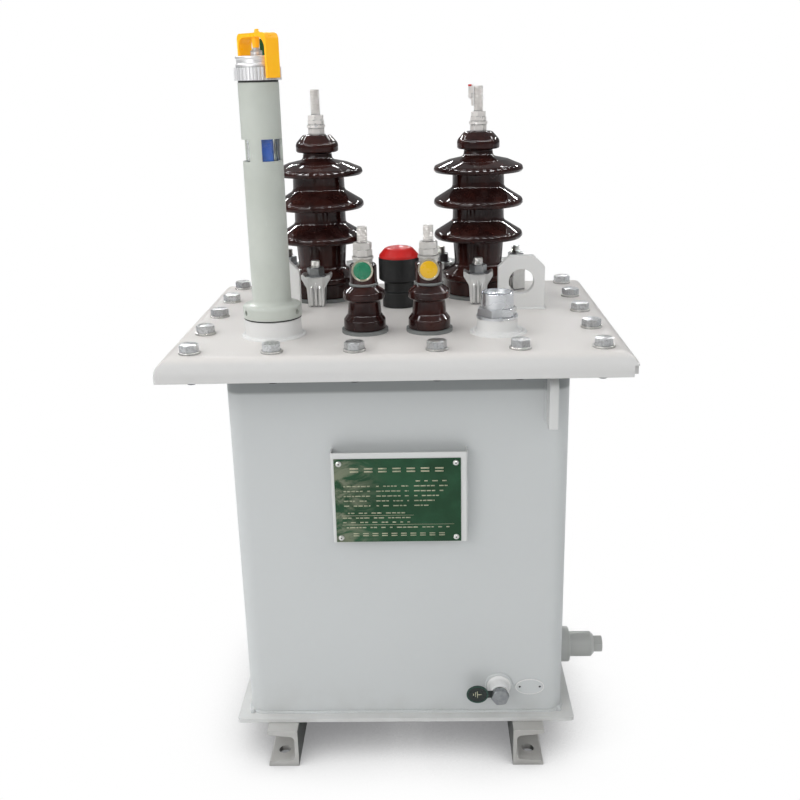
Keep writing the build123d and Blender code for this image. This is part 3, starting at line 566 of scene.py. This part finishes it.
def rounded_path(half_x, half_y, radius, z, parts=6):
    path = []
    for sx, sy, start in ((1, 1, 0), (-1, 1, 90), (-1, -1, 180), (1, -1, 270)):
        for k in range(parts + 1):
            a = math.radians(start + 90 * k / parts)
            path.append((sx * (half_x - radius) + radius * math.cos(a),
                         sy * (half_y - radius) + radius * math.sin(a), z))
    return path


def ring_path(x, y, z, radius, normal="Z"):
    path = []
    for a in turns(40):
        u, v = radius * math.cos(a), radius * math.sin(a)
        point = {"Z": (x + u, y + v, z), "Y": (x + u, y, z + v), "X": (x, y + u, z + v)}
        path.append(point[normal])
    return path


def slab(shape, lo, hi):
    """A thin box between two corners."""
    (a, b, c), (d, e, f) = lo, hi
    outline = ((a, b), (d, b), (d, e), (a, e))
    verts = [(x, y, z) for z in (c, f) for x, y in outline]
    faces = [[0, 3, 2, 1], [4, 5, 6, 7], [0, 1, 5, 4], [1, 2, 6, 5], [2, 3, 7, 6], [3, 0, 4, 7]]
    shape.add(verts, faces)


# Cover bolts


def bolt_places():
    places = [(-BOLT_X + BOLT_X * 2 * i / 5, s * BOLT_Y) for i in range(6) for s in (-1, 1)]
    places += [(s * BOLT_X, -BOLT_Y + BOLT_Y * 2 * j / 4) for j in range(1, 4) for s in (-1, 1)]
    return places


def cover_bolts():
    """Heads and washers on the cover; washers, nuts and free ends under the flange."""
    rnd = random.Random(11)
    head_flats, head_height, washer_height = 19, 8.0, 2.4
    nut_flats, nut_height, nut_seat, free_end = 18, 9.6, 11.6, 6.4
    heads, washers, ends = Shape(), Shape(), Shape()
    washer = [(WASHER_BORE, 0), (WASHER_RADIUS, 0), (WASHER_RADIUS, 2.0),
              (11.6, washer_height), (WASHER_BORE, washer_height)]
    under_washer = [(WASHER_BORE, -2), (WASHER_RADIUS, -2), (WASHER_RADIUS, 0), (WASHER_BORE, 0)]
    for x, y in bolt_places():
        turn = rnd.uniform(0, 60)
        dx, dy = rnd.uniform(-0.4, 0.4), rnd.uniform(-0.4, 0.4)
        lathe(washers, washer, at(x + dx, y + dy, COVER_TOP))
        on_washer = at(x + dx, y + dy, COVER_TOP + washer_height, turn)
        hex_head(heads, head_flats, head_height, on_washer)
        lathe(ends, under_washer, at(x, y, FLANGE_UNDER))
        under = at(x, y, FLANGE_UNDER - nut_seat, rnd.uniform(0, 60))
        hex_head(ends, nut_flats, nut_height, under, True)
        downward = at(x, y, FLANGE_UNDER - 10) @ Matrix.Rotation(math.pi, 4, "X")
        thread(ends, 0, free_end, downward, 18)
    heads.done("cover_bolt_heads", "bolt_zinc", "zinc_steel")
    washers.done("cover_bolt_washers", "washer_zinc", "zinc_steel")
    # the nuts and bolt ends under the flange are painted near-black for the shade they sit in
    ends.done("cover_bolt_ends", "painted_shade_dark", "zinc_steel")


# Terminals and clamps


def terminal_studs():
    """Threaded studs on the tall and the low bushings."""
    tall, low = Shape(), Shape()
    for side in (-1, 1):
        thread(tall, 22, 55, at(side * HV[0], HV[1], HV_SEAT))
        thread(low, 21, 41, at(side * LV[0], LV[1], LV_SEAT))
    tall_studs = tall.done("hv_stud_threads", "thread_zinc", "zinc_steel")
    low_studs = low.done("lv_stud_threads", "thread_zinc", "zinc_steel")
    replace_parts(tall_studs, "hv_studs")
    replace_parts(low_studs, "lv_studs")


def terminal_tab():
    """Flat tab beside the right tall terminal, its tip dipped in red."""
    x, y, z = HV[0] - 9.4, HV[1] - 1.0, HV_SEAT
    tab = Shape()
    rows = [(1.9, 1.3, 31.0), (1.7, 1.5, 38.5), (0.0, 3.2, 41.0), (0.0, 3.2, 56.4)]
    tab.rings([[(x + dx - half, y - 0.8, z + rise), (x + dx + half, y - 0.8, z + rise),
                (x + dx + half, y + 0.8, z + rise), (x + dx - half, y + 0.8, z + rise)]
               for dx, half, rise in rows])
    tab.done("terminal_tab", "pale_zinc", "zinc_steel")
    tip = Shape()
    slab(tip, (x - 3.4, y - 1.0, z + 54.6), (x + 0.8, y + 1.0, z + 56.8))
    tip.done("terminal_tab_tip", "cap_red", "cap_red")


def claw_places():
    """Middle and turn, in degrees, of every clamp claw."""
    places = []
    for side in (-1, 1):
        for turn in CLAW_TURNS:
            a = math.radians(turn)
            places.append((side * HV[0] + CLAW_REACH * math.cos(a),
                           HV[1] + CLAW_REACH * math.sin(a), turn))
    return places


def clamp_nuts():
    """Washers, nuts and threaded stud ends on the clamp claws."""
    nuts, studs = Shape(), Shape()
    rnd = random.Random(23)
    nut_flats, nut_height, washer_height = 19, 10, 1.5
    washer = [(WASHER_BORE, 0), (WASHER_RADIUS, 0), (WASHER_RADIUS, 1.3),
              (11.7, washer_height), (WASHER_BORE, washer_height)]
    for x, y, _ in claw_places():
        lathe(nuts, washer, at(x, y, CLAW_TOP), 32)
        on_washer = at(x, y, CLAW_TOP + washer_height, rnd.uniform(0, 60))
        hex_head(nuts, nut_flats, nut_height, on_washer)
        thread(studs, 8.0, 20, at(x, y, CLAW_TOP), 20)
    nuts.done("clamp_nuts", "zinc_steel", "zinc_steel")
    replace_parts(studs.done("clamp_stud_ends", "washer_zinc", "zinc_steel"), "hv_claw_nuts")


def clamp_ribs():
    """Three upright ribs on the face of each clamp claw."""
    ribs = Shape()
    for x, y, turn in claw_places():
        place = at(x, y, COVER_TOP, turn + 90)
        for offset, low, high in ((-5.4, 1.0, 27.0), (0.0, 1.0, 31.0), (5.4, 1.0, 27.0)):
            rows = [(low, 0.5), (low + 1.5, 0.9), (low + 4, 1.0),
                    (high - 5, 1.0), (high - 2, 0.8), (high, 0.3)]
            ribs.rings([[(offset + 2.1 * share * math.cos(a), -8.6 + 2.0 * share * math.sin(a), z)
                         for a in turns(20)] for z, share in rows], place)
    ribs.done("clamp_ribs", "cast_zinc", "zinc_steel", 60)


# Porcelain


def rounded(corners, parts=5):
    """Points of an open line of (radius, height, rounding) corners, each corner rounded."""
    points = []
    for i, (x, y, r) in enumerate(corners):
        if r <= 0 or i in (0, len(corners) - 1):
            points.append((x, y))
            continue
        here = Vector((x, y))
        a = (Vector(corners[i - 1][:2]) - here).normalized()
        b = (Vector(corners[i + 1][:2]) - here).normalized()
        half = a.angle(b) / 2
        middle = here + (a + b).normalized() * (r / math.sin(half))
        first, last = here + a * (r / math.tan(half)), here + b * (r / math.tan(half))
        sweep = (first - middle).angle_signed(last - middle)
        for k in range(parts + 1):
            spoke = first - middle
            turn = -sweep * k / parts
            points.append((middle.x + spoke.x * math.cos(turn) - spoke.y * math.sin(turn),
                           middle.y + spoke.x * math.sin(turn) + spoke.y * math.cos(turn)))
    return points


def porcelain():
    """Smooth glazed bodies of the tall and the low bushings."""
    tall, low, caps = Shape(), Shape(), Shape()
    line = [(0, 0, 0), (44, 0, 1.5), (44, 18, 2), (47, 20, 2), (47, 26, 3), (31, 37, 5),
            (30.8, 42, 6)]
    for i in range(3):
        z = 71 + 42.2 * i
        line += [(33, z - 1, 2), (55, z, 1.5), (57.5, z + 3, 2.5)]
        if i < 2:
            line += [(57, z + 8.5, 6), (33.4, z + 23, 6)]
        else:
            line += [(56, z + 8, 4), (38, z + 15.5, 8)]
    line += [(19, 175, 5), (18.2, 183, 1.5), (27, 184.5, 2.5), (27, 195, 8), (17.5, 205.5, 5),
             (0, 205.5, 0)]
    body = rounded(line)
    foot = rounded([(0, 0, 0), (24, 0, 1.5), (24, 11, 3), (19.5, 17, 4), (18, 33, 3),
                    (23.8, 35, 2.5), (23.8, 43, 3.5), (16, 49, 1.5),
                    (LV_HEAD_RADIUS, 50, 0), (0, 50, 0)])
    head = rounded([(0, 0, 0), (LV_HEAD_RADIUS, 0, 0), (LV_HEAD_RADIUS, 22, 3.5), (0, 22, 0)])
    for side in (-1, 1):
        lathe(tall, body, at(side * HV[0], HV[1], COVER_TOP + SEAL), 96)
        lathe(low, foot, at(side * LV[0], LV[1], COVER_TOP + SEAL), 72)
        lathe(caps, head, at(side * LV[0], LV[1], LV_UPPER), 72)
    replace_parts(tall.done("tall_porcelain", "brown_glaze", "brown_glaze", 50), "hv_bushings")
    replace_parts(low.done("low_porcelain", "brown_glaze", "brown_glaze", 50), "lv_bushings")
    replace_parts(caps.done("low_porcelain_tops", "brown_glaze", "brown_glaze", 50), "lv_uppers")


# Welds


def weld_beads():
    """Beads round the tank, on the plates and the bosses."""
    beads, lid_beads = Shape(), Shape()
    bottom = rounded_path(TANK_X + 0.6, TANK_Y + 0.6, TANK_ROUND, BASE_TOP + 0.4)
    bead(beads, bottom, 2.4, 3, True, 0.15)
    top = rounded_path(TANK_X + 0.4, TANK_Y + 0.4, TANK_ROUND, FLANGE_UNDER)
    bead(beads, top, 2.6, 4, True, 0.3)
    for sx in (-1, 1):
        for sy in (-1, 1):
            x, y = sx * (TANK_X - 7), sy * (TANK_Y - 4)
            lump = [(x + sx * 2, y + sy * 5, BASE_TOP + 1), (x + sx * 6, y + sy * 1, BASE_TOP + 2)]
            bead(beads, lump, 3.6, 20 + sx + 3 * sy, lumps=0.3, step=1.0)
        for sy in (-1, 1):
            y, z = LUG_Y + sy * 6.4, COVER_TOP + 0.3
            bead(lid_beads, [(sx * (LUG_X - 29), y, z), (sx * (LUG_X + 31), y, z)],
                 2.2, 30 + sx + 3 * sy)
    for sx, sy in ((1, -1), (-1, 1)):
        for k in (-1, 1):
            x, y = sx * HOOK_X + k * 5.2, sy * (TANK_Y + 0.4)
            bead(beads, [(x, y, HOOK_LOW), (x, y, HOOK_HIGH)], 2.3, 40 + sx + k)
    for sx in (-1, 1):
        for low, high in ((297, 318), (341, 362), (386, 405)):
            x, y = sx * BRACKET_SIDE, -TANK_Y - 0.3
            bead(beads, [(x, y, low), (x, y, high)], 1.5, 50 + sx + low)
    x, y = FILLER
    bead(lid_beads, ring_path(x, y, COVER_TOP + 0.4, 26.5), 2.6, 61, True, 0.5)
    bead(lid_beads, ring_path(x + 1, y, COVER_TOP + 0.2, 30.5), 1.8, 62, True, 0.75)
    x, y = GAUGE
    bead(lid_beads, ring_path(x, y, COVER_TOP + 0.4, 34.5), 2.3, 63, True, 0.4)
    x, z = EARTH
    bead(beads, ring_path(x, -TANK_Y - 0.4, z, 15.6, "Y"), 1.9, 64, True, 0.45)
    y, z = DRAIN
    bead(beads, ring_path(TANK_X + 0.4, y, z, 23.1, "X"), 2.2, 65, True, 0.3)
    for sx in (-1, 1):
        for low, high in ((-150, -110), (-20, 20), (110, 150)):
            x, z = sx * FOOT_X, FOOT_WELD
            bead(beads, [(x, low, z), (x, high, z)], 1.9, 70 + sx + low)
    beads.done("weld_beads", "tank_paint", "tank_paint", 70)
    lid_beads.done("weld_beads_on_cover", "lug_paint", "tank_paint", 70)


def corner_welds():
    """Fills that close the notches at the two left corners of the cover's rim."""
    fills = Shape()
    straight = 7.0
    for sy in (-1, 1):
        rings = []
        for rise in (0.0, straight, 9.5, NOTCH_HEIGHT):
            inset = RIM_BEND - math.sqrt(RIM_BEND ** 2 - max(0.0, rise - straight) ** 2)
            x, y = -RIM_X + inset, RIM_Y - inset
            ring = [(-RIM_X + NOTCH_X, y)]
            for k in range(6):
                a = math.radians(90 + 18 * k)
                ring.append((x + RIM_ROUND + RIM_ROUND * math.cos(a),
                             y - RIM_ROUND + RIM_ROUND * math.sin(a)))
            ring += [(x, RIM_Y - NOTCH_Y), (-RIM_X + NOTCH_X, RIM_Y - NOTCH_Y)]
            ring = [(px, sy * py, RIM_UNDER + rise) for px, py in ring]
            rings.append(ring if sy > 0 else ring[::-1])
        fills.rings(rings)
    fills.done("rim_corner_welds", "cover_paint", "tank_paint", 40)


# Rating plate, earth tag, discs, valve and oval plate


def rating_plate_print():
    """Rows of plain dashes and ruled lines where the plate is printed, and four rivets."""
    rnd = random.Random(5)
    marks = Shape()
    dash_height = 1.3

    def dash(x, z, width, height):
        slab(marks, (PRINT_LEFT + x, PLATE_FRONT - 0.12, PRINT_TOP - z - height / 2),
             (PRINT_LEFT + x + width, PLATE_FRONT + 0.05, PRINT_TOP - z + height / 2))

    def row(z, start, end):
        x = start
        while x < end:
            width = rnd.uniform(2.2, 6.5)
            dash(x, z, min(width, end - x), dash_height)
            x += width + rnd.choice((1.0, 1.2, 5.0))

    for k in range(7):
        dash(18 + 16.0 * k, 11.6, 9.6, 1.7)
        dash(18 + 16.0 * k, 15.2, 9.6, 1.7)
    row(27, 92, 130)
    for k, z in enumerate((33, 39, 45, 51, 57)):
        row(z, 10, 40)
        row(z, 47, 84)
        row(z, 90, 128 - 5 * k)
    row(66, 14, 84)
    row(72, 8, 88)
    row(77.5, 8, 88)
    dash(7, 69, 82, 0.4)
    dash(7, 80.5, 128, 0.4)
    row(84, 12, 130)
    for k in range(10):
        dash(19.5 + 10.9 * k, 91.6, 6.6, 1.1)
        dash(19.5 + 10.9 * k, 94.2, 6.6, 1.1)
    marks.done("plate_print", "print_cream", "plate_green")
    rivets, slots = Shape(), Shape()
    dome = [(3.4, -0.2), (3.4, 0.3), (3.0, 1.0), (2.1, 1.5), (1.2, 1.7), (0.0, 1.75)]
    for x, z in ((5.5, 5.6), (137.4, 5.6), (5.5, 96.6), (137.4, 96.6)):
        place = facing_front(PRINT_LEFT + x, PLATE_FRONT, PRINT_TOP - z)
        lathe(rivets, dome, place, 24)
        # painted shade: a near-black disc in the middle of each rivet stands in for its hollow
        lathe(slots, [(0.9, 1.2), (0.9, 1.78), (0.0, 1.8)], place, 12)
    rivets.done("plate_rivets", "washer_zinc", "zinc_steel", 60)
    slots.done("plate_rivet_centres", "painted_shade_dark", "zinc_steel")


def earth_tag_face():
    """Green border and a plain three-bar earth sign on the oval tag."""
    x, y, z = EARTH_TAG
    border = Shape()
    edges = ((13.25, 11.75, 0.0), (13.2, 11.7, 0.25), (11.6, 10.1, 0.25), (11.5, 10.0, 0.0))
    border.rings([[(x + rx * math.cos(a), y - out, z + rz * math.sin(a)) for a in turns(48)]
                  for rx, rz, out in edges], ends=False)
    border.done("earth_tag_border", "tag_edge", "flag_green")
    sign = Shape()
    slab(sign, (x + 0.4, y - 0.15, z - 0.5), (x + 5.2, y + 0.1, z + 0.5))
    for length, back in ((9.4, 0.0), (6.0, 2.4), (2.8, 4.8)):
        slab(sign, (x - back - 0.5, y - 0.15, z - length / 2),
             (x - back + 0.4, y + 0.1, z + length / 2))
    sign.done("earth_sign", "print_cream", "tag_black")


def phase_discs():
    """Coloured enamel faces on the two hanging discs."""
    thickness, drop = 1.2, 6
    for name, side, finish in (("green", -1, "tag_green"), ("yellow", 1, "tag_yellow")):
        place = facing_front(side * LV[0], LV[1] - LV_HEAD_RADIUS - thickness, LV_SEAT - drop)
        face = Shape()
        lathe(face, [(9.9, -0.1), (9.9, 0.25), (9.5, 0.45), (0.0, 0.5)], place, 48)
        face.done("phase_disc_" + name, finish, finish)
        rim = Shape()
        profile = ((12.15, -0.1), (12.0, 0.5), (11.2, 0.65), (10.3, 0.3), (10.2, -0.1))
        rim.rings([circle(r, z, 48) for r, z in profile], place, ends=False)
        rim.done("phase_rim_" + name, "tag_rim", finish, 60)


def valve_nut():
    """Small nut round the stem of the relief valve."""
    nut = Shape()
    hex_head(nut, 11, 5.5, at(*GAUGE, STEM_SEAT, 8), True)
    lathe(nut, [(3.2, 5.4), (4.2, 5.4), (4.2, 7.2), (3.2, 7.2)], at(*GAUGE, STEM_SEAT), 24)
    nut.done("valve_nut", "bright_zinc", "bare_aluminium")


def oval_plate_marks():
    """Raised rim of the small oval plate, and its two holes as discs painted dark with shade."""
    x, z = OVAL
    rim = Shape()
    path = [(x + 17.2 * math.cos(a), -TANK_Y - 1.0, z + 10.2 * math.sin(a)) for a in turns(48)]
    bead(rim, path, 0.7, 81, True, 0.35, 0.8)
    rim.done("oval_plate_rim", "lug_paint", "tank_paint", 70)
    marks = Shape()
    # painted shade: the holes are flat discs painted near-black
    for side in (-1, 1):
        place = facing_front(x + side * 12.25, -TANK_Y - 0.9, z)
        lathe(marks, [(1.35, -0.2), (1.35, 0.15), (0.0, 0.2)], place, 16)
    marks.done("oval_plate_holes", "painted_shade_dark", "tank_paint")


cover_bolts()
terminal_studs()
terminal_tab()
clamp_nuts()
clamp_ribs()
porcelain()
weld_beads()
corner_welds()
rating_plate_print()
earth_tag_face()
phase_discs()
oval_plate_marks()
valve_nut()


# Floor, light and camera


def floor():
    """A plain white floor with a soft shade under the feet."""
    mesh = bpy.data.meshes.new("floor")
    half = 12.0
    corners = [(-half, -half, 0), (half, -half, 0), (half, half, 0), (-half, half, 0)]
    mesh.from_pydata(corners, [], [[0, 1, 2, 3]])
    obj = bpy.data.objects.new("floor", mesh)
    bpy.context.scene.collection.objects.link(obj)
    f = Finish("floor_white", (0.78, 0.78, 0.78), 0.8)
    glow = f.nodes.new("ShaderNodeEmission")
    # painted shadow: the floor's white glow is darkened where it is closed in, near the feet
    shaded = f.mix(f.ramp(f.openness(0.12), 0.0, 0.95), (0.18, 0.18, 0.185), (1.0, 1.0, 1.0))
    f.put(glow.inputs["Color"], shaded)
    glow.inputs["Strength"].default_value = 1.0
    ray = f.nodes.new("ShaderNodeLightPath")
    blend = f.nodes.new("ShaderNodeMixShader")
    f.links.new(ray.outputs["Is Camera Ray"], blend.inputs[0])
    f.links.new(f.shader.outputs[0], blend.inputs[1])
    f.links.new(glow.outputs[0], blend.inputs[2])
    out = [n for n in f.nodes if n.type == "OUTPUT_MATERIAL"][0]
    f.links.new(blend.outputs[0], out.inputs[0])
    mesh.materials.append(f.mat)


def light(name, place, aim, size, power, mirrored=True):
    """A soft lamp; one that isn't mirrored lights surfaces but shows in no reflection."""
    data = bpy.data.lights.new(name, "AREA")
    data.shape = "RECTANGLE"
    data.size, data.size_y = size
    data.energy = power
    obj = bpy.data.objects.new(name, data)
    obj.location = place
    obj.rotation_mode = "QUATERNION"
    obj.rotation_quaternion = (Vector(aim) - Vector(place)).to_track_quat("-Z", "Y")
    obj.visible_glossy = mirrored
    bpy.context.scene.collection.objects.link(obj)


def world():
    """White to the camera, also through glass; to the other rays a grey hall with rows of lamps.

    The lamps are stronger in reflections than in the light they cast.
    """
    hall_world = bpy.data.worlds.new("hall")
    bpy.context.scene.world = hall_world
    hall_world.use_nodes = True
    nodes, links = hall_world.node_tree.nodes, hall_world.node_tree.links
    nodes.clear()

    def calc(kind, a, b=None):
        node = nodes.new("ShaderNodeMath")
        node.operation = kind
        for socket, value in zip(node.inputs, (a, b)):
            if hasattr(value, "is_output"):
                links.new(value, socket)
            elif value is not None:
                socket.default_value = value
        return node.outputs[0]

    split = nodes.new("ShaderNodeSeparateXYZ")
    links.new(nodes.new("ShaderNodeTexCoord").outputs["Generated"], split.inputs[0])
    x, y, z = split.outputs
    ray = nodes.new("ShaderNodeLightPath").outputs

    lamps_round, half_height = 18.0, 0.006
    around = calc("ARCTAN2", x, y)
    dots = calc("GREATER_THAN", calc("SINE", calc("MULTIPLY", around, lamps_round)), 0.0)
    rows = None
    for height, share in ((0.44, 1.0), (0.68, 0.4)):
        away = calc("ABSOLUTE", calc("SUBTRACT", z, height))
        row = calc("MULTIPLY", calc("LESS_THAN", away, half_height), share)
        rows = row if rows is None else calc("ADD", rows, row)
    power = calc("ADD", calc("MULTIPLY", ray["Is Glossy Ray"], 125.0), 42.0)
    lamps = calc("MULTIPLY", calc("MULTIPLY", dots, rows), power)
    grey = calc("ADD", calc("MULTIPLY", calc("MAXIMUM", z, 0.0), 0.26), 0.21)

    hall = nodes.new("ShaderNodeBackground")
    links.new(calc("ADD", grey, lamps), hall.inputs["Strength"])
    hall.inputs["Color"].default_value = (0.97, 0.99, 1.0, 1)
    white = nodes.new("ShaderNodeBackground")
    white.inputs["Color"].default_value = (1, 1, 1, 1)
    white.inputs["Strength"].default_value = 1.0
    blend = nodes.new("ShaderNodeMixShader")
    seen = calc("MAXIMUM", ray["Is Camera Ray"], ray["Is Transmission Ray"])
    links.new(seen, blend.inputs[0])
    links.new(hall.outputs[0], blend.inputs[1])
    links.new(white.outputs[0], blend.inputs[2])
    out = nodes.new("ShaderNodeOutputWorld")
    links.new(blend.outputs[0], out.inputs[0])


def camera():
    """The photo's view: position in millimetres, yaw, downward pitch and roll in radians."""
    place = Vector((33.63, -1205.05, 807.93)) * MM
    yaw, pitch, roll = -0.0291, 0.31412, -0.024211
    focal_pixels, photo_pixels, sensor = 1000.46, 800.0, 36.0
    forward = Vector((math.sin(yaw) * math.cos(pitch), math.cos(yaw) * math.cos(pitch),
                      -math.sin(pitch)))
    right = Vector((math.cos(yaw), -math.sin(yaw), 0))
    up = right.cross(forward)
    right, up = (right * math.cos(roll) + up * math.sin(roll),
                 up * math.cos(roll) - right * math.sin(roll))
    data = bpy.data.cameras.new("camera")
    data.sensor_width = sensor
    data.lens = focal_pixels * sensor / photo_pixels
    data.clip_start, data.clip_end = 0.05, 60.0
    obj = bpy.data.objects.new("camera", data)
    turn = Matrix((right, up, -forward)).transposed().to_4x4()
    obj.matrix_world = Matrix.Translation(place) @ turn
    bpy.context.scene.collection.objects.link(obj)
    bpy.context.scene.camera = obj


floor()
light("key", (-2.3, -3.1, 1.75), (0, 0, 0.35), (2.6, 1.8), 36)
light("side", (3.0, -1.6, 1.9), (0, 0, 0.45), (1.8, 1.8), 5, False)
light("top", (-1.7, 0.2, 2.8), (0, 0, 0.5), (3.0, 2.4), 33, False)
world()
camera()
bpy.context.scene.view_settings.view_transform = "Standard"
